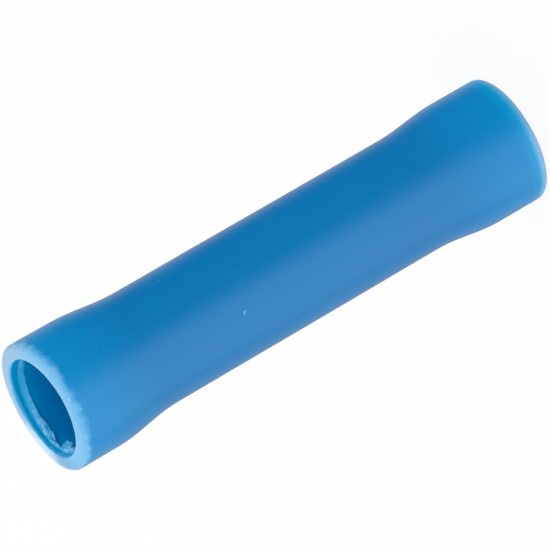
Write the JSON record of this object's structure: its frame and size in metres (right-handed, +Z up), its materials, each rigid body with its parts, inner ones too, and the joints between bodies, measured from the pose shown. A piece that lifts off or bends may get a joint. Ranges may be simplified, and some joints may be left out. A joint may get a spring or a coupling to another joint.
{
  "type": "butt splice connector",
  "caption": "Insulated butt splice connector: a blue sleeve with belled ends grips a crimp barrel with a centre stop, to join wires end to end.",
  "frame": {"origin": "centre of the lower end face, on the floor it stands on", "axes": "+Z up along the connector's axis, +X towards the seam of the barrel"},
  "size_m": [0.006, 0.006, 0.025],
  "materials": {
    "sleeve_vinyl": "satin moulded blue vinyl, slightly translucent",
    "tinned_copper": "satin tin plating over copper"
  },
  "bodies": {
    "root": {"insulation_sleeve": "sleeve_vinyl", "crimp_barrel": "tinned_copper"}
  },
  "joints": []
}
